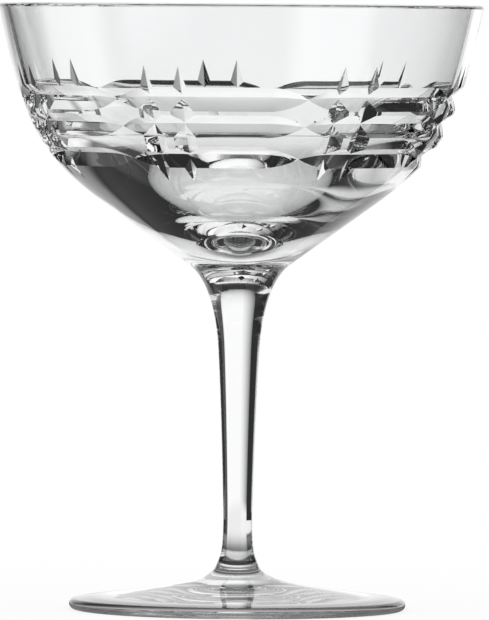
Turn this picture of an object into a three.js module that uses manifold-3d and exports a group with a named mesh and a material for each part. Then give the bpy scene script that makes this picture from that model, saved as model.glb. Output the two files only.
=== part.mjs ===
// A stemmed cocktail glass of clear cut crystal: a wide bowl, a drawn stem and a disc foot.
// Lengths are millimetres and angles are degrees. +Z is up, and the origin is the centre of
// the plane that the foot rests on. The front of the glass faces -Y.
import * as THREE from 'three';
import { mergeVertices } from 'three/addons/utils/BufferGeometryUtils.js';
import Module from 'manifold-3d';

// Foot
const FOOT_RADIUS = 36.4;
const FOOT_EDGE_THICKNESS = 2.45;
const FOOT_EDGE_ROUND = 1.4; // how far the rounded edge stands out
const FOOT_HUB_HEIGHT = 9.1; // seat of the stem, above the table
const HUB_SLOPE_RUN = 2.25; // how far the steep start of the hub reaches out
const HUB_SLOPE_DROP = 3.75; // and how far it falls over that run
const RAMP_RUN = 15.4; // length of the shallow ramp above the edge
const RAMP_RISE = 2.2; // and its rise towards the hub
const REST_RING_WIDTH = 6.5; // flat ring that touches the table
const HOLLOW_DEPTH = 1.1; // rise of the underside at the centre
const HOLLOW_REACH = 14.2; // how far the underside stays at that height
const HOLLOW_SLOPE_RUN = 5.7; // how the underside leaves the flat ring
const HOLLOW_SLOPE_RISE = 0.55;

// Stem
const STEM_LENGTH = 65.4;
const HUB_RADIUS = 4.8; // joint between stem and foot
const SEAT_RADIUS = 10.6; // joint between stem and bowl
const WAIST_RADIUS = 3.14; // thinnest part of the stem
const WAIST_RISE = 10.9; // height of the waist above the foot's hub
const WAIST_STRAIGHT = 8; // how far the stem keeps that width below its waist
const ANKLE_RUN = 1.05; // how the stem draws in above the foot's hub
const ANKLE_RISE = 2.6;
const NECK_RADIUS = 4.4; // top of the plain shaft
const NECK_LEAN = 3; // lean of the shaft's side there
const NECK_STRAIGHT = 5.7; // how far the flare keeps that lean
const SHAFT_SWELL = 0.25; // growth of the shaft over its lowest third
const FLARE_LENGTH = 19; // from the neck up to the bowl
const FLARE_SEAT_RUN = 4.8; // slope of the flare where it meets the bowl
const FLARE_SEAT_DROP = 4.05;

// Bowl
const BOWL_HEIGHT = 56.6;
const RIM_RADIUS = 52.5;
const RIM_WALL = 2.2; // thickness at the lip
const LIP_ROUND = 0.6; // height of the lip's rounded top
const BELLY_RUN = 31.6; // slope of the lower bowl, from the seat outwards
const BELLY_RISE = 23;
const SIDE_RUN = 7.95; // slope of the upper wall, from the rim inwards
const SIDE_DROP = 35.35;
const SWELL_DROP = 17.2; // where the wall starts to thicken, below the rim
const SWELL_WALL = 2.4; // level thickness of the glass there
const SHOULDER_DROP = 27.2; // where the inside turns in, below the rim
const SHOULDER_WALL = 3.2; // level thickness of the glass at the shoulder
const SHOULDER_TURN = 5; // how softly the inside turns in
const FLOOR_THICKNESS = 6.3; // glass between the bowl's floor and the stem
const FLOOR_REACH = 10.5; // how far the inside keeps to its floor's level

// Cut pattern: rows of long horizontal grooves, crossed by pairs of upright wedges
const CUT_REPEATS = 7;
const CUT_HALF_ANGLE = 60; // half of the V of the cutting wheel
const GROOVE_TURN = -7.9; // middle of the first groove, from the front
const GROOVE_DROPS = [20.2, 26, 32.9]; // rows, below the rim
const GROOVE_DEPTH = 1.62;
const GROOVE_RUN_OUT = 8.6; // length over which a groove fades at each end
const GROOVE_FADE = 2; // how it fades: 1 is straight and 2 is round
const WEDGE_TURN = -12.2; // middle of a wedge pair, from the middle of its groove
const WEDGE_SPACING = 9; // angle between the two wedges of a pair
const WEDGE_TOP_DROP = 13; // tips of a wedge, below the rim
const WEDGE_BOTTOM_DROP = 37.8;
const WEDGE_DEPTH = 1.5;
const WEDGE_TOP_RUN_OUT = 8.7; // heights over which a wedge fades
const WEDGE_BOTTOM_RUN_OUT = 6;
const WEDGE_FADE = 1.1;
const CUTTER_CLEARANCE = 1.2; // how far a cutter stands out of the wall

// Fineness: sides around the axis, and steps along each curve of a profile or cut
const BOWL_SIDES = CUT_REPEATS * 8;
const FOOT_SIDES = 48;
const STEM_SIDES = 24;
const EDGE_STEPS = 6;
const HOLLOW_STEPS = 4;
const FOOT_TOP_STEPS = 10;
const ANKLE_STEPS = 6;
const SHAFT_STEPS = 5;
const FLARE_STEPS = 10;
const SEARCH_STEP = 1e-6; // how finely a height is searched for along the wall
const WALL_STEPS = 12;
const LIP_STEPS = 4;
const SIDE_STEPS = 7;
const WELL_STEPS = 10;
const GROOVE_STEPS = 10;
const WEDGE_STEPS = 8;

// Looks
const GLASS_ROUGHNESS = 0.03;
const GLASS_OPACITY = 0.35;
const FOOT_COLOUR = 0xe9eef0;
const STEM_COLOUR = 0xeef2f4;
const BOWL_COLOUR = 0xf2f5f6;

const SEAT_HEIGHT = FOOT_HUB_HEIGHT + STEM_LENGTH;
const RIM_HEIGHT = SEAT_HEIGHT + BOWL_HEIGHT;
const LIP_HEIGHT = RIM_HEIGHT - LIP_ROUND;
const SWELL_HEIGHT = RIM_HEIGHT - SWELL_DROP;
const SHOULDER_HEIGHT = RIM_HEIGHT - SHOULDER_DROP;
const QUARTER_TURN = Math.PI / 2;
const HALF_TURN = Math.PI;
const FULL_TURN_DEGREES = 360;

const wasm = await Module();
wasm.setup();

// A point of a profile
function at(radius, height) {
  return new THREE.Vector2(radius, height);
}

function curve(...points) {
  return new THREE.CubicBezierCurve(...points);
}

function roundEdge(radius, height, reach, halfThickness, startAngle, endAngle) {
  return new THREE.EllipseCurve(radius, height, reach, halfThickness, startAngle, endAngle);
}

// Keeps only merged positions, so that the surface is closed
function bareGeometry(geometry) {
  const bare = new THREE.BufferGeometry();
  bare.setAttribute('position', geometry.getAttribute('position'));
  bare.setIndex(geometry.getIndex());
  return mergeVertices(bare);
}

// A profile that starts and ends on the axis, turned into a solid of revolution about Z
function turned(points, sides) {
  const geometry = new THREE.LatheGeometry(points, sides);
  geometry.rotateX(QUARTER_TURN);
  return bareGeometry(geometry);
}

function toSolid(geometry) {
  const bare = bareGeometry(geometry);
  return new wasm.Manifold(new wasm.Mesh({
    numProp: 3,
    vertProperties: bare.getAttribute('position').array,
    triVerts: bare.getIndex().array,
  }));
}

function toGeometry(solid) {
  const { vertProperties, triVerts } = solid.getMesh();
  const geometry = new THREE.BufferGeometry();
  geometry.setAttribute('position', new THREE.BufferAttribute(vertProperties, 3));
  geometry.setIndex(new THREE.BufferAttribute(triVerts, 1));
  return geometry;
}

function glassMesh(name, geometry, color) {
  geometry.computeVertexNormals();
  const material = new THREE.MeshStandardMaterial({ color, roughness: GLASS_ROUGHNESS, metalness: 0 });
  material.transparent = true;
  material.opacity = GLASS_OPACITY;
  const mesh = new THREE.Mesh(geometry, material);
  mesh.name = name;
  return mesh;
}

// Foot: a disc with a round edge, a shallow ramp and a hub, hollowed a little underneath
function makeFoot() {
  const edgeCentre = FOOT_RADIUS - FOOT_EDGE_ROUND;
  const halfEdge = FOOT_EDGE_THICKNESS / 2;
  const edge = roundEdge(edgeCentre, halfEdge, FOOT_EDGE_ROUND, halfEdge, -QUARTER_TURN, QUARTER_TURN);
  const top = curve(
    at(edgeCentre, FOOT_EDGE_THICKNESS),
    at(edgeCentre - RAMP_RUN, FOOT_EDGE_THICKNESS + RAMP_RISE),
    at(HUB_RADIUS + HUB_SLOPE_RUN, FOOT_HUB_HEIGHT - HUB_SLOPE_DROP),
    at(HUB_RADIUS, FOOT_HUB_HEIGHT),
  );
  const hollowRadius = edgeCentre - REST_RING_WIDTH;
  const hollow = curve(
    at(0, HOLLOW_DEPTH),
    at(HOLLOW_REACH, HOLLOW_DEPTH),
    at(hollowRadius - HOLLOW_SLOPE_RUN, HOLLOW_SLOPE_RISE),
    at(hollowRadius, 0),
  );
  const points = [
    ...hollow.getPoints(HOLLOW_STEPS),
    ...edge.getPoints(EDGE_STEPS),
    ...top.getPoints(FOOT_TOP_STEPS).slice(1),
    at(0, FOOT_HUB_HEIGHT),
  ];
  return glassMesh('foot', turned(points, FOOT_SIDES), FOOT_COLOUR);
}

// Stem: drawn thin above the foot and flared up to the bowl
function makeStem() {
  const waistHeight = FOOT_HUB_HEIGHT + WAIST_RISE;
  const neckHeight = SEAT_HEIGHT - FLARE_LENGTH;
  const neckSlope = Math.tan(THREE.MathUtils.degToRad(NECK_LEAN));
  const third = (neckHeight - waistHeight) / 3;
  const ankle = curve(
    at(HUB_RADIUS, FOOT_HUB_HEIGHT),
    at(HUB_RADIUS - ANKLE_RUN, FOOT_HUB_HEIGHT + ANKLE_RISE),
    at(WAIST_RADIUS, waistHeight - WAIST_STRAIGHT),
    at(WAIST_RADIUS, waistHeight),
  );
  const shaft = curve(
    at(WAIST_RADIUS, waistHeight),
    at(WAIST_RADIUS + SHAFT_SWELL, waistHeight + third),
    at(NECK_RADIUS - neckSlope * third, neckHeight - third),
    at(NECK_RADIUS, neckHeight),
  );
  const flare = curve(
    at(NECK_RADIUS, neckHeight),
    at(NECK_RADIUS + neckSlope * NECK_STRAIGHT, neckHeight + NECK_STRAIGHT),
    at(SEAT_RADIUS - FLARE_SEAT_RUN, SEAT_HEIGHT - FLARE_SEAT_DROP),
    at(SEAT_RADIUS, SEAT_HEIGHT),
  );
  const points = [
    at(0, FOOT_HUB_HEIGHT),
    ...ankle.getPoints(ANKLE_STEPS),
    ...shaft.getPoints(SHAFT_STEPS).slice(1),
    ...flare.getPoints(FLARE_STEPS).slice(1),
    at(0, SEAT_HEIGHT),
  ];
  return glassMesh('stem', turned(points, STEM_SIDES), STEM_COLOUR);
}

const outerWall = curve(
  at(SEAT_RADIUS, SEAT_HEIGHT),
  at(SEAT_RADIUS + BELLY_RUN, SEAT_HEIGHT + BELLY_RISE),
  at(RIM_RADIUS - SIDE_RUN, LIP_HEIGHT - SIDE_DROP),
  at(RIM_RADIUS, LIP_HEIGHT),
);

// Where the outside of the bowl is at a height, and which way it faces
function wallAt(height) {
  let low = 0;
  let high = 1;
  while (high - low > SEARCH_STEP) {
    const middle = (low + high) / 2;
    if (outerWall.getPoint(middle).y < height) low = middle;
    else high = middle;
  }
  const point = outerWall.getPoint(low);
  const along = outerWall.getTangent(low);
  return { point, along, outwards: at(along.y, -along.x) };
}

// The thin side of the inside: the glass thickens a little down to the swell, then more to the shoulder
function sidePoints() {
  const points = [];
  for (let step = 0; step <= SIDE_STEPS; step += 1) {
    const height = THREE.MathUtils.lerp(LIP_HEIGHT, SHOULDER_HEIGHT, step / SIDE_STEPS);
    const taper = Math.min(1, (LIP_HEIGHT - height) / (LIP_HEIGHT - SWELL_HEIGHT));
    const growth = THREE.MathUtils.smoothstep(SWELL_HEIGHT - height, 0, SWELL_HEIGHT - SHOULDER_HEIGHT);
    const swelling = (SHOULDER_WALL - SWELL_WALL) * growth;
    const thickness = THREE.MathUtils.lerp(RIM_WALL, SWELL_WALL, taper) + swelling;
    points.push(at(wallAt(height).point.x - thickness, height));
  }
  return points;
}

// The well of the inside, from the shoulder to the middle of the floor
function wellPoints() {
  const { point, along } = wallAt(SHOULDER_HEIGHT);
  const shoulder = at(point.x - SHOULDER_WALL, SHOULDER_HEIGHT);
  const floorHeight = SEAT_HEIGHT + FLOOR_THICKNESS;
  const well = curve(
    shoulder,
    shoulder.clone().addScaledVector(along, -SHOULDER_TURN),
    at(FLOOR_REACH, floorHeight),
    at(0, floorHeight),
  );
  return well.getPoints(WELL_STEPS);
}

// Depth of a cut that is full in its middle and fades over a run at each end
function fadedDepth(depth, distanceFromMiddle, halfLength, runOut, fade) {
  const pastFull = Math.max(0, distanceFromMiddle - (halfLength - runOut));
  return depth * (1 - (pastFull / runOut) ** fade);
}

// The path of a cut's tip. The section keeps to the wall, whichever way the tip moves.
class CutPath extends THREE.Curve {
  constructor(frameAt) {
    super();
    this.frameAt = frameAt;
  }

  getPoint(t, target = new THREE.Vector3()) {
    return target.copy(this.frameAt(t).tip);
  }

  computeFrenetFrames(steps) {
    const frames = { tangents: [], normals: [], binormals: [] };
    for (let step = 0; step <= steps; step += 1) {
      const { sideways, outwards } = this.frameAt(this.getUtoTmapping(step / steps));
      frames.normals.push(sideways);
      frames.binormals.push(outwards);
      frames.tangents.push(sideways.clone().cross(outwards));
    }
    return frames;
  }
}

// A radius and height, placed at an angle from the front of the bowl
function around(point, angle) {
  return new THREE.Vector3(point.x * Math.sin(angle), -point.x * Math.cos(angle), point.y);
}

function cutTip(wall, depth) {
  return wall.point.clone().addScaledVector(wall.outwards, -depth);
}

// A V with its tip on the path and its open side clear of the wall
function vCutter(depth, frameAt, steps) {
  const length = depth + CUTTER_CLEARANCE;
  const halfWidth = length * Math.tan(THREE.MathUtils.degToRad(CUT_HALF_ANGLE));
  const section = new THREE.Shape([at(0, 0), at(halfWidth, length), at(-halfWidth, length)]);
  return toSolid(new THREE.ExtrudeGeometry(section, { steps, extrudePath: new CutPath(frameAt) }));
}

// A horizontal groove, centred on the front of the bowl
function grooveCutter(drop) {
  const wall = wallAt(RIM_HEIGHT - drop);
  const halfAngle = HALF_TURN / CUT_REPEATS;
  const halfLength = wall.point.x * halfAngle;
  const frameAt = (t) => {
    const angle = (2 * t - 1) * halfAngle;
    const fromMiddle = Math.abs(angle) * wall.point.x;
    const depth = fadedDepth(GROOVE_DEPTH, fromMiddle, halfLength, GROOVE_RUN_OUT, GROOVE_FADE);
    return {
      tip: around(cutTip(wall, depth), angle),
      sideways: around(wall.along, angle),
      outwards: around(wall.outwards, angle),
    };
  };
  return vCutter(GROOVE_DEPTH, frameAt, GROOVE_STEPS);
}

// An upright wedge at the front of the bowl
function wedgeCutter() {
  const topHeight = RIM_HEIGHT - WEDGE_TOP_DROP;
  const bottomHeight = RIM_HEIGHT - WEDGE_BOTTOM_DROP;
  const halfLength = (topHeight - bottomHeight) / 2;
  const frameAt = (t) => {
    const wall = wallAt(THREE.MathUtils.lerp(bottomHeight, topHeight, t));
    const rise = (2 * t - 1) * halfLength;
    const runOut = rise > 0 ? WEDGE_TOP_RUN_OUT : WEDGE_BOTTOM_RUN_OUT;
    const depth = fadedDepth(WEDGE_DEPTH, Math.abs(rise), halfLength, runOut, WEDGE_FADE);
    return {
      tip: around(cutTip(wall, depth), 0),
      sideways: new THREE.Vector3(-1, 0, 0),
      outwards: around(wall.outwards, 0),
    };
  };
  return vCutter(WEDGE_DEPTH, frameAt, WEDGE_STEPS);
}

// Bowl: a turned cup whose outside carries the cut pattern
function makeBowl() {
  const halfRim = RIM_WALL / 2;
  const lip = roundEdge(RIM_RADIUS - halfRim, LIP_HEIGHT, halfRim, LIP_ROUND, 0, HALF_TURN);
  const points = [
    at(0, SEAT_HEIGHT),
    ...outerWall.getPoints(WALL_STEPS),
    ...lip.getPoints(LIP_STEPS).slice(1, -1),
    ...sidePoints(),
    ...wellPoints().slice(1),
  ];
  let bowl = toSolid(turned(points, BOWL_SIDES));
  const grooves = GROOVE_DROPS.map(grooveCutter);
  const wedge = wedgeCutter();
  for (let repeat = 0; repeat < CUT_REPEATS; repeat += 1) {
    const turn = GROOVE_TURN + FULL_TURN_DEGREES / CUT_REPEATS * repeat;
    for (const groove of grooves) bowl = bowl.subtract(groove.rotate([0, 0, turn]));
    for (const side of [-1, 1]) {
      bowl = bowl.subtract(wedge.rotate([0, 0, turn + WEDGE_TURN + side * WEDGE_SPACING / 2]));
    }
  }
  return glassMesh('bowl', toGeometry(bowl), BOWL_COLOUR);
}

const glass = new THREE.Group();
glass.add(makeFoot(), makeStem(), makeBowl());

export default glass;
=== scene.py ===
"""A wheel-cut cocktail glass of clear crystal, and the white studio around it.

Lengths are metres, +Z is up, and the origin is the centre of the plane that the foot rests on.
"""

import math
from functools import reduce

import bmesh
import bpy
from bpy.props import FloatProperty, FloatVectorProperty, IntProperty, PointerProperty
from mathutils import Matrix, Vector


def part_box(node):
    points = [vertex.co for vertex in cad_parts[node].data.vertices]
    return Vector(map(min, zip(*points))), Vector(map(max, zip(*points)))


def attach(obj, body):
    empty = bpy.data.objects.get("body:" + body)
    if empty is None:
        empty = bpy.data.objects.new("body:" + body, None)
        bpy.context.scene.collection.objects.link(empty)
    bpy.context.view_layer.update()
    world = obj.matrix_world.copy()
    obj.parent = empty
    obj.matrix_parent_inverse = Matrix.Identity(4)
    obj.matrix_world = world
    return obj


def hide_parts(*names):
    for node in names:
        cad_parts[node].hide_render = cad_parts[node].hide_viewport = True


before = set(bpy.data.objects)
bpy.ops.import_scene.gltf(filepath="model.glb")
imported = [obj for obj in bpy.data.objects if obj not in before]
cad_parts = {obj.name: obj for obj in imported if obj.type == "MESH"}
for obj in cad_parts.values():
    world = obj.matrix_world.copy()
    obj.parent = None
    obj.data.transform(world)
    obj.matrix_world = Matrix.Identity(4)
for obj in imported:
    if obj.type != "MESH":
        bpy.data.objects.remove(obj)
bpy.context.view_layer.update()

bl_info = {
    "name": "Cut Cocktail Glass",
    "version": (1, 0, 0),
    "blender": (4, 5, 0),
    "location": "View3D > Sidebar > Cut Glass",
    "description": "Builds a wheel-cut cocktail glass and the studio it stands in",
    "category": "Object",
}

PHOTO_HEIGHT_PX = 620
MM = 0.001

BOWL_LOW, BOWL_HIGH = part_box("bowl")
_, STEM_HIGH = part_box("stem")
_, FOOT_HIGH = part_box("foot")

UP = Vector((0, 0, 1))
CENTRE = Vector((0, 0, 0))
QUARTER_TURN = math.pi / 2
MERGE_DISTANCE = 0.0005 * MM
CUTTER_CLEARANCE = 0.3 * MM
SHARP_ANGLE = math.radians(14)
WALL_SEARCH_STEPS = 40

# Share of its repeat that a groove takes, so that it stays clear of the next one
GROOVE_SHARE = 0.9995

# Steps along the curves of the profiles
OUTSIDE_STEPS = 72
LIP_STEPS = 12
SIDE_STEPS = 40
WELL_STEPS = 60
ANKLE_STEPS = 24
SHAFT_STEPS = 32
FLARE_STEPS = 40
HOLLOW_STEPS = 28
EDGE_STEPS = 16
FOOT_TOP_STEPS = 48
FLOOR_SIDES = 96

# Place of the fused joint among the materials of a piece
FUSED_SLOT = 1

# Looks of the glass: the range of noise in use, and the spread and detail of each kind
NOISE_LOW, NOISE_HIGH = 0.35, 0.65
STREAK_DETAIL = 2
RIPPLE_SPREAD, RIPPLE_DETAIL = 90, 1
MARK_SPREAD, MARK_DETAIL = 700, 2

# Studio: how much of the floor's white the camera sees, the rest being its shaded colour
CAMERA_SHARE = 0.8
WHITE = (1, 1, 1, 1)
LEVEL = (1, 1, 0)
CLIP_END = 100
GLASS_BOUNCES = 32
GLOSSY_BOUNCES = 16


# Settings that a user would change


def size(label, default, description):
    """A length property."""
    return FloatProperty(
        name=label, description=description, default=default, unit="LENGTH", precision=5
    )


def angle(label, degrees, description):
    """An angle property, given in degrees and kept in radians."""
    return FloatProperty(
        name=label, description=description, default=math.radians(degrees), subtype="ANGLE"
    )


def number(label, default, description):
    """A plain number property."""
    return FloatProperty(name=label, description=description, default=default, precision=4)


def count(label, default, description):
    """A whole number property."""
    return IntProperty(name=label, description=description, default=default, min=1)


def colour(label, default, description):
    """A linear colour property."""
    return FloatVectorProperty(
        name=label, description=description, default=default, subtype="COLOR", min=0
    )


class BowlSettings(bpy.types.PropertyGroup):
    """Sizes of the turned bowl"""

    rim_radius: size("Rim radius", BOWL_HIGH[0], "Outside radius at the lip")
    rim_height: size("Rim height", BOWL_HIGH[2], "Height of the lip above the table")
    rim_wall: size("Rim wall", 2.2 * MM, "Thickness of the glass at the lip")
    lip_round: size("Lip round", 0.6 * MM, "Height of the rounded top of the lip")
    seat_radius: size("Seat radius", STEM_HIGH[0], "Radius of the joint with the stem")
    seat_height: size("Seat height", BOWL_LOW[2], "Height of the joint with the stem")
    floor_thickness: size("Floor thickness", 6.3 * MM, "Glass between the inside and that joint")
    floor_reach: size("Floor reach", 10.5 * MM, "How far the inside keeps to its floor's level")
    belly_run: size("Belly run", 31.6 * MM, "How far the lower wall heads outwards")
    belly_rise: size("Belly rise", 23 * MM, "How far the lower wall heads upwards")
    side_run: size("Side run", 7.95 * MM, "How far the upper wall leans in below the rim")
    side_drop: size("Side drop", 35.35 * MM, "How far down the upper wall keeps its lean")
    swell_drop: size("Swell drop", 17.2 * MM, "Where the wall starts to swell, below the rim")
    swell_wall: size("Swell wall", 2.4 * MM, "Level thickness of the glass there")
    shoulder_drop: size("Shoulder drop", 27.2 * MM, "Where the inside turns in, below the rim")
    shoulder_wall: size("Shoulder wall", 3.2 * MM, "Level thickness of the glass at that shoulder")
    shoulder_turn: size("Shoulder turn", 5 * MM, "How softly the inside turns in there")
    sides: count("Sides", 280, "Steps of the bowl around its axis")


class CutSettings(bpy.types.PropertyGroup):
    """The wheel-cut pattern: rows of long grooves, crossed by pairs of upright wedges"""

    repeats: count("Repeats", 7, "How often the pattern repeats around the bowl")
    half_angle: angle("Half angle", 60, "Half of the V of the cutting wheel")
    groove_turn: angle("Groove turn", -7.9, "Middle of the first groove, from the front")
    groove_drops: FloatVectorProperty(
        name="Groove drops",
        description="Heights of the three groove rows below the rim",
        default=(20.2 * MM, 26 * MM, 32.9 * MM),
        unit="LENGTH",
        precision=5,
    )
    groove_depth: size("Groove depth", 1.62 * MM, "Depth of a groove in its middle")
    groove_run_out: size("Groove run-out", 8.6 * MM, "Length over which a groove fades at each end")
    groove_fade: number("Groove fade", 2, "How a groove fades: 1 is straight and 2 is round")
    groove_steps: count("Groove steps", 40, "Steps along a groove")
    wedge_turn: angle("Wedge turn", -12.2, "Middle of a wedge pair, from the middle of its groove")
    wedge_spacing: angle("Wedge spacing", 9, "Angle between the two wedges of a pair")
    wedge_top_drop: size("Wedge top", 13 * MM, "Upper tip of a wedge, below the rim")
    wedge_bottom_drop: size("Wedge bottom", 37.8 * MM, "Lower tip of a wedge, below the rim")
    wedge_depth: size("Wedge depth", 1.5 * MM, "Depth of a wedge in its middle")
    wedge_top_run: size("Wedge top run-out", 8.7 * MM, "Height over which its top fades")
    wedge_bottom_run: size("Wedge bottom run-out", 6 * MM, "Height over which its bottom fades")
    wedge_fade: number("Wedge fade", 1.1, "How a wedge fades: 1 is straight and 2 is round")
    wedge_steps: count("Wedge steps", 32, "Steps along a wedge")


class StemSettings(bpy.types.PropertyGroup):
    """Sizes of the drawn stem"""

    hub_radius: size("Hub radius", 4.8 * MM, "Radius of the joint with the foot")
    waist_radius: size("Waist radius", 3.14 * MM, "Thinnest part of the stem")
    waist_rise: size("Waist rise", 10.9 * MM, "Height of the waist above the foot's hub")
    waist_straight: size("Waist straight", 8 * MM, "How far below the waist it stays so thin")
    ankle_run: size("Ankle run", 1.05 * MM, "How far the stem draws in above the foot's hub")
    ankle_rise: size("Ankle rise", 2.6 * MM, "How far it rises over that run")
    neck_radius: size("Neck radius", 4.4 * MM, "Radius at the top of the plain shaft")
    neck_lean: angle("Neck lean", 3, "Lean of the shaft's side at the neck")
    neck_straight: size("Neck straight", 5.7 * MM, "How far the flare keeps that lean")
    shaft_swell: size("Shaft swell", 0.25 * MM, "Growth of the shaft over its lowest third")
    flare_length: size("Flare length", 19 * MM, "From the neck up to the bowl")
    flare_seat_run: size("Flare seat run", 4.8 * MM, "How far the flare heads out at the bowl")
    flare_seat_drop: size("Flare seat drop", 4.05 * MM, "How far the flare falls over that run")
    sides: count("Sides", 140, "Steps of the stem around its axis")


class FootSettings(bpy.types.PropertyGroup):
    """Sizes of the disc foot"""

    radius: size("Radius", FOOT_HIGH[0], "Outside radius of the foot")
    hub_height: size("Hub height", FOOT_HIGH[2], "Height of the joint with the stem")
    edge_thickness: size("Edge thickness", 2.45 * MM, "Thickness of the disc at its edge")
    edge_round: size("Edge round", 1.4 * MM, "How far the rounded edge stands out")
    rest_ring_width: size("Rest ring width", 6.5 * MM, "Flat ring that touches the table")
    hollow_depth: size("Hollow depth", 1.1 * MM, "Rise of the underside at its centre")
    hollow_reach: size("Hollow reach", 14.2 * MM, "How far the underside stays at that height")
    hollow_slope_run: size("Hollow slope run", 5.7 * MM, "Run of the slope beside the flat ring")
    hollow_slope_rise: size("Hollow slope rise", 0.55 * MM, "How far it rises over that run")
    hub_slope_run: size("Hub slope run", 2.25 * MM, "Run of the steep start of the hub")
    hub_slope_drop: size("Hub slope drop", 3.75 * MM, "How far the hub falls over that run")
    ramp_run: size("Ramp run", 15.4 * MM, "Length of the shallow ramp above the edge")
    ramp_rise: size("Ramp rise", 2.2 * MM, "Rise of that ramp towards the hub")
    sides: count("Sides", 200, "Steps of the foot around its axis")


class FinishSettings(bpy.types.PropertyGroup):
    """Looks of the crystal"""

    clear: colour("Clear glass", (1.0, 1.0, 1.0), "Colour of the glass where it is clearest")
    tinted: colour("Tinted glass", (0.972, 0.980, 0.984), "Colour of its faint streaks")
    refraction: number("Refraction", 1.56, "Index of refraction of crystal glass")
    streak_spread: number("Streak spread", 26.0, "Streaks per metre in the glass")
    smoothest: number("Smoothest", 0.0, "Roughness of fire-polished glass at its best")
    roughest: number("Roughest", 0.004, "Roughness where the polish is a little less")
    bowl_ripple: size("Bowl ripple", 0.010 * MM, "Height of the soft waves on the bowl")
    stem_ripple: size("Stem ripple", 0.010 * MM, "Height of the soft waves on the stem")
    foot_ripple: size("Foot ripple", 0.05 * MM, "Height of the soft waves on the foot")
    wheel_marks: size("Wheel marks", 0.002 * MM, "Height of the wheel's marks in the cuts")


class StageSettings(bpy.types.PropertyGroup):
    """Camera, floor and light; turns are from the back of the glass, to the right"""

    camera_distance: size("Camera distance", 2.3, "From the glass's axis to the camera")
    camera_height: size("Camera height", 137 * MM, "Height of the lens above the table")
    aim_height: size("Aim height", 64.9 * MM, "Height that the camera looks at")
    aim_side: size("Aim side", 1.15 * MM, "How far beside the axis the camera looks")
    roll: angle("Roll", 0.4, "How far the camera leans to its left")
    pixel_size: size("Pixel size", 0.2162 * MM, "Length on the axis that one pixel shows")
    floor_radius: size("Floor radius", 1.6, "Radius of the pale floor")
    floor_colour: colour("Floor colour", (0.86, 0.86, 0.86), "Colour of the pale floor")
    floor_white: number("Floor white", 1.035, "Brightness that makes the lit floor white")
    dark: number("Dark", 0.025, "Brightness of the dark room around the backdrop")
    backdrop_turn: angle("Backdrop turn", 3.5, "Middle of the backdrop")
    backdrop_half: angle("Backdrop half-width", 31.5, "How far aside the backdrop reaches")
    backdrop_edge: angle("Backdrop edge", 0.7, "Softness of its edges")
    backdrop_light: number("Backdrop light", 1.07, "Brightness of the fully lit backdrop")
    backdrop_low: angle("Backdrop low", 14, "How far up the backdrop is fully lit")
    backdrop_top: angle("Backdrop top", 65, "How far up its light has faded")
    far_turn: angle("Far light turn", 12, "Middle of the light on the far backdrop")
    far_full: angle("Far light full", 17, "How far aside of that the light is full")
    far_end: angle("Far light end", 45, "How far aside that light has faded")
    # Painted light: the floor in front of the backdrop is painted with the backdrop's light, near
    # and far
    far_radius: size("Far radius", 1200 * MM, "Where the floor has the light of the backdrop")
    painted_near_light: number("Near light", 0.88, "Brightness of the near floor, times the backdrop's")
    near_turn: angle("Near light turn", 5, "Middle of the light on the near floor")
    near_full: angle("Near light full", 30, "How far aside of that the light is full")
    near_end: angle("Near light end", 70, "How far aside that light has faded")
    near_radius: size("Near radius", 800 * MM, "How far out the near light reaches")
    front_light: number("Front light", 0.12, "Brightness of the room behind the camera")
    front_half: angle("Front half-width", 45, "How far aside the light behind the camera reaches")
    window: number("Window", 0.8, "Brightness of the small window on the left")
    window_turn: angle("Window turn", -67, "Middle of that window")
    window_half: angle("Window half-width", 7, "Half of the width of that window, and its height")
    card: number("Card", 0.95, "Brightness of the white cards beside the glass")
    card_half: angle("Card half-width", 20, "Half of the width of a card")
    left_card_turn: angle("Left card turn", -90, "Middle of the card on the left")
    card_top: angle("Left card top", 6, "Height of the upper edge of the left card")
    front_card_turn: angle("Front card turn", 135, "Middle of the card at the front right")
    front_card_top: angle("Front card top", 24, "Height of the upper edge of the front card")
    edge: angle("Edge", 5, "Softness of the edges of the cards, the window and the patch")
    # Painted shade: to the glass, the floor is painted darker close to the foot
    shade: number("Shade", 0.95, "How much darker the floor is to the glass close to its foot")
    shade_reach: size("Shade reach", 105 * MM, "How far out that shade has mostly faded")
    # Painted light: a bright ring painted on the floor under the foot
    painted_under_foot: number("Under foot", 0.58, "Brightness of the floor in a ring under the foot")
    under_inner: size("Under foot from", 12 * MM, "Inside radius of that ring")
    under_outer: size("Under foot to", 28 * MM, "Where that ring starts to fade")
    under_end: size("Under foot end", 33 * MM, "Where that ring has faded")
    # Painted light: a lit patch painted on the floor at the back left
    patch_turn: angle("Patch turn", -45, "Middle of the lit patch of floor at the back left")
    patch_half: angle("Patch half-width", 24, "How far to each side that patch reaches")
    patch_from: size("Patch from", 130 * MM, "Inside radius of that patch")
    patch_to: size("Patch to", 340 * MM, "Outside radius of that patch")
    patch_edge: size("Patch edge", 50 * MM, "Over how much that patch fades in and out")
    # Painted light: the floor close around the glass is painted brighter
    painted_table_light: number("Table light", 0.3, "Brightness of the floor close around the glass")
    table_radius: size("Table radius", 110 * MM, "How far out the floor has that brightness")
    table_edge: size("Table edge", 60 * MM, "Over how much more it falls dark")


# Shapes


def at(radius, height):
    """A point of a profile."""
    return Vector((radius, 0, height))


def on_curve(control, share):
    """Point at a share of a Bezier curve, and the direction along the curve there."""
    points = [Vector(point) for point in control]
    while len(points) > 2:
        points = [before.lerp(after, share) for before, after in zip(points, points[1:])]
    return points[0].lerp(points[1], share), (points[1] - points[0]).normalized()


def curve_points(control, steps):
    """Evenly stepped points of a Bezier curve, both ends included."""
    return [on_curve(control, step / steps)[0] for step in range(steps + 1)]


def arc_points(centre, reach, half_height, start, end, steps):
    """Points of an elliptic arc in the profile plane."""
    turns = [start + (end - start) * step / steps for step in range(steps + 1)]
    return [centre + at(reach * math.cos(turn), half_height * math.sin(turn)) for turn in turns]


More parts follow.
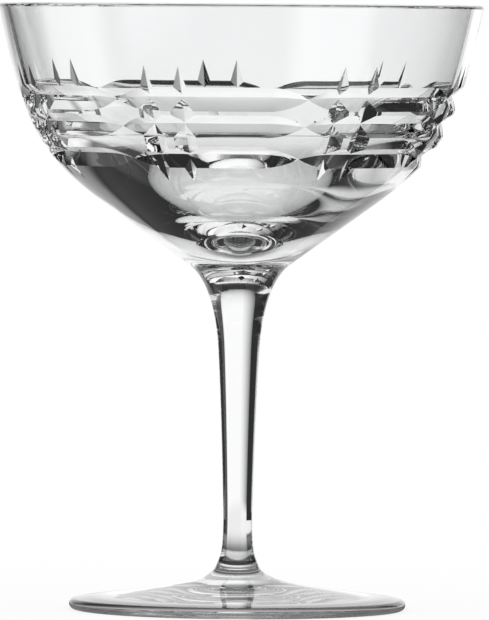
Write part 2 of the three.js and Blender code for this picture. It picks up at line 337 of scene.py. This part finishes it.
def turned(points, sides):
    """A profile that starts and ends on the axis, spun into a closed shape."""
    bm = bmesh.new()
    verts = [bm.verts.new(point) for point in points]
    edges = [bm.edges.new(pair) for pair in zip(verts, verts[1:])]
    bmesh.ops.spin(
        bm, geom=verts + edges, axis=UP, cent=CENTRE, angle=math.tau, steps=sides, use_merge=True
    )
    bmesh.ops.remove_doubles(bm, verts=bm.verts[:], dist=MERGE_DISTANCE)
    bmesh.ops.recalc_face_normals(bm, faces=bm.faces[:])
    return bm


def mark_joints(bm, heights):
    """Gives the flat joints at these heights the slot of fused glass."""
    for face in bm.faces:
        for height in heights:
            if all(abs(vert.co.z - height) < MERGE_DISTANCE for vert in face.verts):
                face.material_index = FUSED_SLOT


def soften(bm):
    """Smooth faces, with sharp edges where the surface kinks."""
    for face in bm.faces:
        face.smooth = True
    for edge in bm.edges:
        edge.smooth = edge.calc_face_angle(math.pi) < SHARP_ANGLE


def mesh_object(name, bm, materials):
    """An object at the origin that holds the shape."""
    mesh = bpy.data.meshes.new(name)
    bm.to_mesh(mesh)
    bm.free()
    for material in materials:
        mesh.materials.append(material)
    item = bpy.data.objects.new(name, mesh)
    bpy.context.scene.collection.objects.link(item)
    return item


def stand_for(item, node):
    """The piece stands for a node of the frame: it hangs from the root body, and the node's part is
    hidden.
    """
    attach(item, "root")
    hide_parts(node)


# Bowl and its cuts


def outer_wall(bowl):
    """Control points of the outside of the bowl, from the seat up to the lip."""
    lip_height = bowl.rim_height - bowl.lip_round
    return [
        at(bowl.seat_radius, bowl.seat_height),
        at(bowl.seat_radius + bowl.belly_run, bowl.seat_height + bowl.belly_rise),
        at(bowl.rim_radius - bowl.side_run, lip_height - bowl.side_drop),
        at(bowl.rim_radius, lip_height),
    ]


def wall_at(bowl, height):
    """Point of the outside at a height, the direction up the wall and the one out of it."""
    control = outer_wall(bowl)
    low, high = 0.0, 1.0
    for _ in range(WALL_SEARCH_STEPS):
        middle = (low + high) / 2
        if on_curve(control, middle)[0].z < height:
            low = middle
        else:
            high = middle
    point, along = on_curve(control, low)
    return point, along, Vector((along.z, 0, -along.x))


def eased(share):
    """Rises smoothly from 0 to 1 as a share does, and stays there."""
    share = min(max(share, 0), 1)
    return share * share * (3 - 2 * share)


def side_points(bowl, steps):
    """Inside of the side, which thickens slowly to the swell and then more to the shoulder."""
    top = bowl.rim_height - bowl.lip_round
    swell = bowl.rim_height - bowl.swell_drop
    shoulder = bowl.rim_height - bowl.shoulder_drop
    points = []
    for step in range(steps + 1):
        height = top + (shoulder - top) * step / steps
        taper = min(1, (top - height) / (top - swell))
        growth = eased((swell - height) / (swell - shoulder))
        wall = bowl.rim_wall + (bowl.swell_wall - bowl.rim_wall) * taper
        wall += (bowl.shoulder_wall - bowl.swell_wall) * growth
        points.append(wall_at(bowl, height)[0] - at(wall, 0))
    return points


def well_points(bowl, steps):
    """Inside of the well, from the shoulder down to the middle of the floor."""
    beside, slope, _ = wall_at(bowl, bowl.rim_height - bowl.shoulder_drop)
    shoulder = beside - at(bowl.shoulder_wall, 0)
    floor_height = bowl.seat_height + bowl.floor_thickness
    control = [
        shoulder,
        shoulder - slope * bowl.shoulder_turn,
        at(bowl.floor_reach, floor_height),
        at(0, floor_height),
    ]
    return curve_points(control, steps)


def bowl_profile(bowl):
    """Outline of the bowl before it is cut."""
    half_wall = bowl.rim_wall / 2
    lip_centre = at(bowl.rim_radius - half_wall, bowl.rim_height - bowl.lip_round)
    return [
        at(0, bowl.seat_height),
        *curve_points(outer_wall(bowl), OUTSIDE_STEPS),
        *arc_points(lip_centre, half_wall, bowl.lip_round, 0, math.pi, LIP_STEPS)[1:-1],
        *side_points(bowl, SIDE_STEPS),
        *well_points(bowl, WELL_STEPS)[1:],
    ]


def faded(depth, from_middle, half_length, run_out, power):
    """Depth of a cut that is full in its middle and fades over a run at each end."""
    past_full = max(0, from_middle - (half_length - run_out))
    return depth * (1 - (past_full / run_out) ** power)


def facing(turn):
    """Turns the profile plane to an angle from the front of the glass."""
    return Matrix.Rotation(turn - QUARTER_TURN, 3, "Z")


def groove_stations(bowl, cuts, drop, middle):
    """Stations of a long horizontal groove, centred on an angle from the front."""
    point, along, out = wall_at(bowl, bowl.rim_height - drop)
    half_turn = math.pi / cuts.repeats * GROOVE_SHARE
    half_length = point.x * half_turn
    run_out, fade = cuts.groove_run_out, cuts.groove_fade
    stations = []
    for step in range(cuts.groove_steps + 1):
        turn = half_turn * (2 * step / cuts.groove_steps - 1)
        depth = faded(cuts.groove_depth, abs(turn) * point.x, half_length, run_out, fade)
        place = facing(middle + turn)
        stations.append((place @ (point - out * depth), place @ out, place @ along))
    return stations


def wedge_stations(bowl, cuts, middle):
    """Stations of an upright wedge at an angle from the front."""
    half_length = (cuts.wedge_bottom_drop - cuts.wedge_top_drop) / 2
    middle_height = bowl.rim_height - cuts.wedge_top_drop - half_length
    place = facing(middle)
    across = place @ Vector((0, 1, 0))
    stations = []
    for step in range(cuts.wedge_steps + 1):
        rise = half_length * (2 * step / cuts.wedge_steps - 1)
        point, _, out = wall_at(bowl, middle_height + rise)
        run_out = cuts.wedge_top_run if rise > 0 else cuts.wedge_bottom_run
        depth = faded(cuts.wedge_depth, abs(rise), half_length, run_out, cuts.wedge_fade)
        stations.append((place @ (point - out * depth), place @ out, across))
    return stations


def add_cutter(bm, stations, depth, half_angle):
    """Sweeps a V along stations of its tip, the way out of the wall and the way across the cut."""
    reach = depth + CUTTER_CLEARANCE
    spread = reach * math.tan(half_angle)
    sections = [
        (tip, tip + out * reach + across * spread, tip + out * reach - across * spread)
        for tip, out, across in stations
    ]
    faces = [bm.faces.new([bm.verts.new(corner) for corner in sections[0]])]
    for before, after in zip(sections, sections[1:]):
        grown = bmesh.ops.extrude_face_region(bm, geom=[faces[-1]])["geom"]
        faces.append(next(item for item in grown if isinstance(item, bmesh.types.BMFace)))
        for vert in faces[-1].verts:
            corner = min(range(3), key=lambda index: (vert.co - before[index]).length)
            vert.co = after[corner]
    bmesh.ops.delete(bm, geom=faces[1:-1], context="FACES_ONLY")


def cutter_object(name, runs, depth, half_angle, material):
    """One object that holds a cutter for each run of stations."""
    bm = bmesh.new()
    for stations in runs:
        add_cutter(bm, stations, depth, half_angle)
    bmesh.ops.recalc_face_normals(bm, faces=bm.faces[:])
    return mesh_object(name, bm, [material])


def pattern_cutters(bowl, cuts, material):
    """The cutters of all grooves and of all wedges."""
    turns = [cuts.groove_turn + math.tau * index / cuts.repeats for index in range(cuts.repeats)]
    sides = [cuts.wedge_turn + cuts.wedge_spacing * side for side in (-0.5, 0.5)]
    rows = cuts.groove_drops
    grooves = [groove_stations(bowl, cuts, drop, turn) for drop in rows for turn in turns]
    wedges = [wedge_stations(bowl, cuts, turn + side) for turn in turns for side in sides]
    half_angle = cuts.half_angle
    return [
        cutter_object("groove cutters", grooves, cuts.groove_depth, half_angle, material),
        cutter_object("wedge cutters", wedges, cuts.wedge_depth, half_angle, material),
    ]


def carve(item, cutters):
    """Cuts the shapes out of the piece for good, and removes them."""
    for cutter in cutters:
        cut = item.modifiers.new(cutter.name, "BOOLEAN")
        cut.operation = "DIFFERENCE"
        cut.solver = "MANIFOLD"
        cut.material_mode = "TRANSFER"
        cut.object = cutter
    graph = bpy.context.evaluated_depsgraph_get()
    carved = bpy.data.meshes.new_from_object(item.evaluated_get(graph))
    item.modifiers.clear()
    whole = item.data
    item.data = carved
    carved.name = item.name
    bpy.data.meshes.remove(whole)
    for cutter in cutters:
        bpy.data.meshes.remove(cutter.data)


def clean_cuts(item):
    """Merges the points that the cuts have doubled, and softens the piece."""
    bm = bmesh.new()
    bm.from_mesh(item.data)
    bmesh.ops.remove_doubles(bm, verts=bm.verts[:], dist=MERGE_DISTANCE)
    soften(bm)
    bm.to_mesh(item.data)
    bm.free()


class CUTGLASS_OT_bowl(bpy.types.Operator):
    """Turns the bowl and cuts its grooves and wedges"""

    bl_idname = "cutglass.bowl"
    bl_label = "Bowl"

    def execute(self, context):
        bowl = context.scene.cutglass_bowl
        cuts = context.scene.cutglass_cuts
        finish = context.scene.cutglass_finish
        bm = turned(bowl_profile(bowl), bowl.sides)
        mark_joints(bm, [bowl.seat_height])
        glass = crystal("bowl crystal", finish, finish.bowl_ripple)
        fused = fused_glass()
        cut_glass = wheel_cut("polished cut", finish)
        item = mesh_object("bowl_body", bm, [glass, fused, cut_glass])
        carve(item, pattern_cutters(bowl, cuts, cut_glass))
        clean_cuts(item)
        stand_for(item, "bowl")
        return {"FINISHED"}


# Stem


def stem_profile(bowl, stem, foot):
    """Outline of the stem, from the foot's hub up to the bowl's seat."""
    waist_height = foot.hub_height + stem.waist_rise
    neck_height = bowl.seat_height - stem.flare_length
    neck_slope = math.tan(stem.neck_lean)
    third = (neck_height - waist_height) / 3
    ankle = [
        at(stem.hub_radius, foot.hub_height),
        at(stem.hub_radius - stem.ankle_run, foot.hub_height + stem.ankle_rise),
        at(stem.waist_radius, waist_height - stem.waist_straight),
        at(stem.waist_radius, waist_height),
    ]
    shaft = [
        at(stem.waist_radius, waist_height),
        at(stem.waist_radius + stem.shaft_swell, waist_height + third),
        at(stem.neck_radius - neck_slope * third, neck_height - third),
        at(stem.neck_radius, neck_height),
    ]
    flare = [
        at(stem.neck_radius, neck_height),
        at(stem.neck_radius + neck_slope * stem.neck_straight, neck_height + stem.neck_straight),
        at(bowl.seat_radius - stem.flare_seat_run, bowl.seat_height - stem.flare_seat_drop),
        at(bowl.seat_radius, bowl.seat_height),
    ]
    return [
        at(0, foot.hub_height),
        *curve_points(ankle, ANKLE_STEPS),
        *curve_points(shaft, SHAFT_STEPS)[1:],
        *curve_points(flare, FLARE_STEPS)[1:],
        at(0, bowl.seat_height),
    ]


class CUTGLASS_OT_stem(bpy.types.Operator):
    """Draws the stem between the foot and the bowl"""

    bl_idname = "cutglass.stem"
    bl_label = "Stem"

    def execute(self, context):
        bowl = context.scene.cutglass_bowl
        stem = context.scene.cutglass_stem
        foot = context.scene.cutglass_foot
        finish = context.scene.cutglass_finish
        bm = turned(stem_profile(bowl, stem, foot), stem.sides)
        mark_joints(bm, [foot.hub_height, bowl.seat_height])
        soften(bm)
        glass = crystal("stem crystal", finish, finish.stem_ripple)
        item = mesh_object("stem_body", bm, [glass, fused_glass()])
        stand_for(item, "stem")
        return {"FINISHED"}


# Foot


def foot_profile(stem, foot):
    """Outline of the foot, from the middle of its hollow underside round to the top of its hub."""
    edge_radius = foot.radius - foot.edge_round
    half_edge = foot.edge_thickness / 2
    edge_centre = at(edge_radius, half_edge)
    hollow_radius = edge_radius - foot.rest_ring_width
    hollow = [
        at(0, foot.hollow_depth),
        at(foot.hollow_reach, foot.hollow_depth),
        at(hollow_radius - foot.hollow_slope_run, foot.hollow_slope_rise),
        at(hollow_radius, 0),
    ]
    edge = (edge_centre, foot.edge_round, half_edge, -QUARTER_TURN, QUARTER_TURN)
    top = [
        at(edge_radius, foot.edge_thickness),
        at(edge_radius - foot.ramp_run, foot.edge_thickness + foot.ramp_rise),
        at(stem.hub_radius + foot.hub_slope_run, foot.hub_height - foot.hub_slope_drop),
        at(stem.hub_radius, foot.hub_height),
    ]
    return [
        *curve_points(hollow, HOLLOW_STEPS),
        *arc_points(*edge, EDGE_STEPS),
        *curve_points(top, FOOT_TOP_STEPS)[1:],
        at(0, foot.hub_height),
    ]


class CUTGLASS_OT_foot(bpy.types.Operator):
    """Turns the disc foot with its small hub"""

    bl_idname = "cutglass.foot"
    bl_label = "Foot"

    def execute(self, context):
        stem = context.scene.cutglass_stem
        foot = context.scene.cutglass_foot
        finish = context.scene.cutglass_finish
        bm = turned(foot_profile(stem, foot), foot.sides)
        mark_joints(bm, [foot.hub_height])
        soften(bm)
        glass = crystal("foot crystal", finish, finish.foot_ripple)
        item = mesh_object("foot_body", bm, [glass, fused_glass()])
        stand_for(item, "foot")
        return {"FINISHED"}


# Nodes


class Graph:
    """Adds nodes to a node tree and links them."""

    def __init__(self, tree):
        self.nodes = tree.nodes
        self.links = tree.links

    def calc(self, operation, *values):
        """A Math node on one or two values, which are numbers or outputs."""
        node = self.nodes.new("ShaderNodeMath")
        node.operation = operation
        for socket, value in zip(node.inputs, values):
            if isinstance(value, (int, float)):
                socket.default_value = value
            else:
                self.links.new(value, socket)
        return node.outputs["Value"]

    def product(self, *levels):
        """Some levels multiplied with each other."""
        return reduce(lambda first, second: self.calc("MULTIPLY", first, second), levels)

    def brightest(self, *levels):
        """The largest of some levels."""
        return reduce(lambda first, second: self.calc("MAXIMUM", first, second), levels)

    def vector(self, operation, first, second=None):
        """A Vector Math node; its first vector is linked and its second is given."""
        node = self.nodes.new("ShaderNodeVectorMath")
        node.operation = operation
        self.links.new(first, node.inputs[0])
        if second is not None:
            node.inputs[1].default_value = second
        return node

    def ramp(self, value, start, end, low=0, high=1, shape="LINEAR"):
        """Goes from low to high while a value goes from start to end."""
        span = self.nodes.new("ShaderNodeMapRange")
        span.interpolation_type = shape
        span.inputs["From Min"].default_value = start
        span.inputs["From Max"].default_value = end
        span.inputs["To Min"].default_value = low
        span.inputs["To Max"].default_value = high
        self.links.new(value, span.inputs["Value"])
        return span.outputs["Result"]

    def soft_step(self, value, start, end):
        """Rises smoothly from 0 to 1 while a value goes from start to end."""
        return self.ramp(value, start, end, shape="SMOOTHSTEP")


def new_material(name):
    """A node material and the graph of its nodes."""
    material = bpy.data.materials.new(name)
    material.use_nodes = True
    return material, Graph(material.node_tree)


# Finishes


def noise(graph, spread, detail):
    """Noise on the piece's own coordinates."""
    place = graph.nodes.new("ShaderNodeTexCoord")
    texture = graph.nodes.new("ShaderNodeTexNoise")
    texture.inputs["Scale"].default_value = spread
    texture.inputs["Detail"].default_value = detail
    graph.links.new(place.outputs["Object"], texture.inputs["Vector"])
    return texture.outputs["Fac"]


def waves(graph, shader, factor, height):
    """Soft relief of the surface."""
    bump = graph.nodes.new("ShaderNodeBump")
    bump.inputs["Strength"].default_value = 1
    bump.inputs["Distance"].default_value = height
    graph.links.new(factor, bump.inputs["Height"])
    graph.links.new(bump.outputs["Normal"], shader.inputs["Normal"])


def glass_shader(graph, finish):
    """Clear glass with faint streaks of colour and polish."""
    shader = graph.nodes["Principled BSDF"]
    shader.inputs["Transmission Weight"].default_value = 1
    shader.inputs["IOR"].default_value = finish.refraction
    streaks = noise(graph, finish.streak_spread, STREAK_DETAIL)
    tint = graph.nodes.new("ShaderNodeMix")
    tint.data_type = "RGBA"
    tint.inputs["A"].default_value = (*finish.clear, 1)
    tint.inputs["B"].default_value = (*finish.tinted, 1)
    graph.links.new(streaks, tint.inputs["Factor"])
    graph.links.new(tint.outputs["Result"], shader.inputs["Base Color"])
    polish = graph.ramp(streaks, NOISE_LOW, NOISE_HIGH, finish.smoothest, finish.roughest)
    graph.links.new(polish, shader.inputs["Roughness"])
    return shader


def crystal(name, finish, ripple):
    """Fire-polished crystal with soft waves."""
    material, graph = new_material(name)
    shader = glass_shader(graph, finish)
    waves(graph, shader, noise(graph, RIPPLE_SPREAD, RIPPLE_DETAIL), ripple)
    return material


def wheel_cut(name, finish):
    """Polished crystal inside a cut, with the faint marks of the wheel."""
    material, graph = new_material(name)
    shader = glass_shader(graph, finish)
    waves(graph, shader, noise(graph, MARK_SPREAD, MARK_DETAIL), finish.wheel_marks)
    return material


def fused_glass():
    """Glass runs on through a fused joint, so the joint itself shows nothing."""
    material, graph = new_material("fused joint")
    graph.nodes.remove(graph.nodes["Principled BSDF"])
    clear = graph.nodes.new("ShaderNodeBsdfTransparent")
    graph.links.new(clear.outputs["BSDF"], graph.nodes["Material Output"].inputs["Surface"])
    return material


# Studio


def level_way(graph, direction):
    """The level part of a direction, one unit long."""
    level = graph.vector("MULTIPLY", direction, LEVEL).outputs["Vector"]
    return graph.vector("NORMALIZE", level).outputs["Vector"]


def towards(graph, way, turn, full, end):
    """1 towards a turn, fading to 0 between two angles aside of it."""
    along = graph.vector("DOT_PRODUCT", way, (math.sin(turn), math.cos(turn), 0))
    aside = graph.calc("ARCCOSINE", along.outputs["Value"])
    return graph.ramp(aside, end, full)


def sector(graph, way, turn, half, soft):
    """1 up to a half-width aside of a turn and 0 beyond it, with soft edges."""
    return towards(graph, way, turn, half - soft, half + soft)


def glass_rays(graph):
    """1 for light that arrives through the glass or by a reflection in it."""
    path = graph.nodes.new("ShaderNodeLightPath")
    return graph.brightest(path.outputs["Is Glossy Ray"], path.outputs["Is Transmission Ray"])


def far_light(graph, way, stage):
    """Light of the far backdrop: it fades to both sides."""
    return towards(graph, way, stage.far_turn, stage.far_full, stage.far_end)


def within_edges(graph, way, stage):
    """Full light between the side edges of the backdrop, and none beside it."""
    inside = sector(graph, way, stage.backdrop_turn, stage.backdrop_half, stage.backdrop_edge)
    return graph.product(inside, stage.backdrop_light)


def panel_light(graph, way, rise, soft, turn, half, top, level):
    """Light of a panel that reaches a half-width aside of a turn and up to its top."""
    sideways = sector(graph, way, turn, half, soft)
    upwards = graph.soft_step(rise, top + soft, top - soft)
    return graph.product(sideways, upwards, level)


def make_world(stage):
    """White to the camera and the floor; to the glass, a lit backdrop and cards in a dark room."""
    world = bpy.data.worlds.new("studio")
    bpy.context.scene.world = world
    world.use_nodes = True
    graph = Graph(world.node_tree)
    direction = graph.nodes.new("ShaderNodeTexCoord").outputs["Generated"]
    way = level_way(graph, direction)
    split = graph.nodes.new("ShaderNodeSeparateXYZ")
    graph.links.new(direction, split.inputs["Vector"])
    rise = graph.calc("ARCSINE", split.outputs["Z"])
    edges = within_edges(graph, way, stage)
    fading = graph.soft_step(rise, stage.backdrop_top, stage.backdrop_low)
    panels = [
        (math.pi, stage.front_half, stage.backdrop_top, stage.front_light),
        (stage.window_turn, stage.window_half, stage.window_half, stage.window),
        (stage.left_card_turn, stage.card_half, stage.card_top, stage.card),
        (stage.front_card_turn, stage.card_half, stage.front_card_top, stage.card),
    ]
    studio = graph.brightest(
        graph.product(edges, far_light(graph, way, stage), fading),
        *[panel_light(graph, way, rise, stage.edge, *panel) for panel in panels],
        stage.dark,
    )
    shown = glass_rays(graph)
    even = graph.calc("SUBTRACT", 1, shown)
    strength = graph.calc("ADD", even, graph.product(shown, studio))
    background = graph.nodes["Background"]
    graph.links.new(strength, background.inputs["Strength"])
    background.inputs["Color"].default_value = WHITE


def painted_foot_shade(graph, reach, stage):
    """Painted shade of the floor near the foot, which only the glass sees: the share of its painted
    light that the floor keeps, little close to the foot, and all far out.
    """
    spread = graph.calc("POWER", graph.calc("DIVIDE", reach, stage.shade_reach), 2)
    fall = graph.calc("EXPONENT", graph.product(spread, -1))
    return graph.calc("SUBTRACT", 1, graph.product(fall, stage.shade))


def painted_foot_ring(graph, reach, stage):
    """Painted light of the floor in a ring under the foot, which only the glass sees."""
    inner = graph.calc("GREATER_THAN", reach, stage.under_inner)
    outer = graph.soft_step(reach, stage.under_end, stage.under_outer)
    return graph.product(inner, outer, stage.painted_under_foot)


def painted_floor_behind(graph, way, reach, stage):
    """Painted light of the backdrop on the floor in front of it, which changes from near to far and
    which only the glass sees.
    """
    spot = towards(graph, way, stage.near_turn, stage.near_full, stage.near_end)
    near = graph.product(spot, stage.painted_near_light)
    farther = graph.soft_step(reach, stage.near_radius, stage.far_radius)
    change = graph.calc("SUBTRACT", far_light(graph, way, stage), near)
    light = graph.calc("ADD", near, graph.product(farther, change))
    return graph.product(within_edges(graph, way, stage), light)


def painted_floor_patch(graph, way, reach, stage):
    """Painted light of a patch of floor at the back left, which only the glass sees."""
    aside = sector(graph, way, stage.patch_turn, stage.patch_half, stage.edge)
    starting = graph.soft_step(reach, stage.patch_from, stage.patch_from + stage.patch_edge)
    ending = graph.soft_step(reach, stage.patch_to + stage.patch_edge, stage.patch_to)
    return graph.product(aside, starting, ending)


def painted_floor_to_glass(graph, stage):
    """Painted light and painted shade of the floor, to light that arrives by way of the glass."""
    place = graph.nodes.new("ShaderNodeTexCoord").outputs["Object"]
    way = level_way(graph, place)
    reach = graph.vector("LENGTH", place).outputs["Value"]
    table_end = stage.table_radius + stage.table_edge
    lit = graph.brightest(
        # Painted light of the table close around the glass
        graph.product(graph.soft_step(reach, table_end, stage.table_radius), stage.painted_table_light),
        painted_floor_behind(graph, way, reach, stage),
        painted_floor_patch(graph, way, reach, stage),
        # Painted light of the two cards on the floor, in their directions
        sector(graph, way, stage.left_card_turn, stage.card_half, stage.edge),
        sector(graph, way, stage.front_card_turn, stage.card_half, stage.edge),
        # The rest of the floor is painted as dark as the room
        stage.dark,
    )
    # Painted shade near the foot over the painted light, and the painted ring under the foot
    shaded = graph.product(painted_foot_shade(graph, reach, stage), lit)
    return graph.brightest(shaded, painted_foot_ring(graph, reach, stage))


def pale_floor_with_painted_light(stage):
    """Floor that looks white and keeps part of the glass's real shadow; to the glass it glows with
    painted light and painted shade.
    """
    material, graph = new_material("pale floor")
    shader = graph.nodes["Principled BSDF"]
    shader.inputs["Base Color"].default_value = (*stage.floor_colour, 1)
    shader.inputs["Roughness"].default_value = 1
    shader.inputs["Specular IOR Level"].default_value = 0
    # The camera sees even white with a share of real shading; the glass sees the painted light and
    # shade
    through = glass_rays(graph)
    # How much darker than white the floor is painted to the glass
    darker = graph.calc("SUBTRACT", stage.floor_white, painted_floor_to_glass(graph, stage))
    strength = graph.calc("SUBTRACT", stage.floor_white, graph.product(through, darker))
    # Glow that is even white to the camera, and painted light and shade to the glass
    white = graph.nodes.new("ShaderNodeEmission")
    graph.links.new(strength, white.inputs["Strength"])
    camera = graph.nodes.new("ShaderNodeLightPath").outputs["Is Camera Ray"]
    share = graph.calc("ADD", graph.product(camera, CAMERA_SHARE), through)
    mix = graph.nodes.new("ShaderNodeMixShader")
    graph.links.new(share, mix.inputs["Fac"])
    graph.links.new(shader.outputs["BSDF"], mix.inputs[1])
    graph.links.new(white.outputs["Emission"], mix.inputs[2])
    graph.links.new(mix.outputs["Shader"], graph.nodes["Material Output"].inputs["Surface"])
    return material


def make_camera(stage):
    """A long lens in front of the glass, a little above its rim."""
    lens = bpy.data.cameras.new("camera")
    lens.sensor_fit = "AUTO"
    lens.lens = lens.sensor_width * stage.camera_distance / stage.pixel_size / PHOTO_HEIGHT_PX
    lens.clip_end = CLIP_END
    item = bpy.data.objects.new("camera", lens)
    bpy.context.scene.collection.objects.link(item)
    eye = Vector((stage.aim_side, -stage.camera_distance, stage.camera_height))
    pitch = math.atan2(stage.camera_height - stage.aim_height, stage.camera_distance)
    lean = Matrix.Rotation(QUARTER_TURN - pitch, 4, "X") @ Matrix.Rotation(stage.roll, 4, "Z")
    item.matrix_world = Matrix.Translation(eye) @ lean
    bpy.context.scene.camera = item


class CUTGLASS_OT_stage(bpy.types.Operator):
    """Sets up the camera, the pale floor and the light"""

    bl_idname = "cutglass.stage"
    bl_label = "Stage"

    def execute(self, context):
        stage = context.scene.cutglass_stage
        make_camera(stage)
        make_world(stage)
        bm = bmesh.new()
        bmesh.ops.create_circle(bm, cap_ends=True, segments=FLOOR_SIDES, radius=stage.floor_radius)
        floor = mesh_object("floor", bm, [pale_floor_with_painted_light(stage)])
        context.scene.view_settings.view_transform = "Standard"
        context.scene.cycles.max_bounces = GLASS_BOUNCES
        context.scene.cycles.transmission_bounces = GLASS_BOUNCES
        context.scene.cycles.glossy_bounces = GLOSSY_BOUNCES
        context.scene.cycles.transparent_max_bounces = GLASS_BOUNCES
        return {"FINISHED"}


# Panel and registration


STEPS = {
    CUTGLASS_OT_stage: ["cutglass_stage"],
    CUTGLASS_OT_foot: ["cutglass_foot"],
    CUTGLASS_OT_stem: ["cutglass_stem"],
    CUTGLASS_OT_bowl: ["cutglass_bowl", "cutglass_cuts", "cutglass_finish"],
}

SETTINGS = {
    "cutglass_bowl": BowlSettings,
    "cutglass_cuts": CutSettings,
    "cutglass_stem": StemSettings,
    "cutglass_foot": FootSettings,
    "cutglass_finish": FinishSettings,
    "cutglass_stage": StageSettings,
}


class CUTGLASS_PT_panel(bpy.types.Panel):
    """Lists the steps that build the glass, and their settings"""

    bl_idname = "CUTGLASS_PT_panel"
    bl_label = "Cut Cocktail Glass"
    bl_space_type = "VIEW_3D"
    bl_region_type = "UI"
    bl_category = "Cut Glass"

    def draw(self, context):
        for step, names in STEPS.items():
            self.layout.operator(step.bl_idname)
            for name in names:
                settings = getattr(context.scene, name)
                for key in settings.bl_rna.properties.keys():
                    if key not in {"rna_type", "name"}:
                        self.layout.prop(settings, key)


def register():
    for name, group in SETTINGS.items():
        bpy.utils.register_class(group)
        setattr(bpy.types.Scene, name, PointerProperty(type=group))
    for step in STEPS:
        bpy.utils.register_class(step)
    bpy.utils.register_class(CUTGLASS_PT_panel)


def unregister():
    bpy.utils.unregister_class(CUTGLASS_PT_panel)
    for step in STEPS:
        bpy.utils.unregister_class(step)
    for name, group in SETTINGS.items():
        delattr(bpy.types.Scene, name)
        bpy.utils.unregister_class(group)


def main():
    register()
    bpy.ops.cutglass.stage()
    bpy.ops.cutglass.foot()
    bpy.ops.cutglass.stem()
    bpy.ops.cutglass.bowl()


if __name__ == "__main__":
    main()
